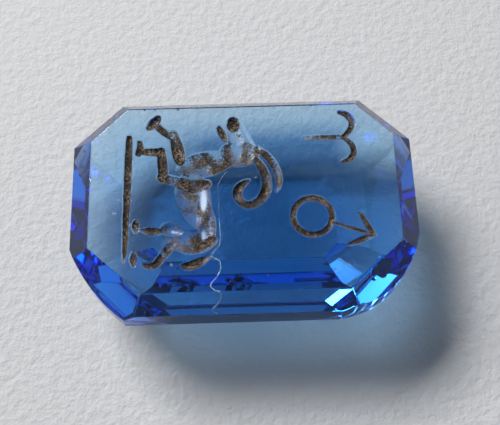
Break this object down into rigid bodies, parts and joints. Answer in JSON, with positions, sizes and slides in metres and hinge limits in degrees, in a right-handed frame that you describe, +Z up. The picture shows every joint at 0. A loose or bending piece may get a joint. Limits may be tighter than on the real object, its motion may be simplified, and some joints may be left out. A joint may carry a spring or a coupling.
{
  "type": "engraved glass seal stone",
  "caption": "Loose step-cut seal stone of clear blue glass, with a ram, a ground line and two sky signs sunk into its flat table.",
  "frame": {"origin": "middle of the flat underside that the stone rests on", "axes": "+Z up through the engraved table, +X along the stone from the ram's feet to the two signs, +Y towards the side with straight cut corners"},
  "size_m": [0.0178, 0.0116, 0.0062],
  "materials": {
    "blue_glass": "clear sapphire-blue glass, polished, slightly hazed on the table, with brown dirt in the engraving"
  },
  "bodies": {
    "root": {"seal_stone": "blue_glass"}
  },
  "joints": []
}
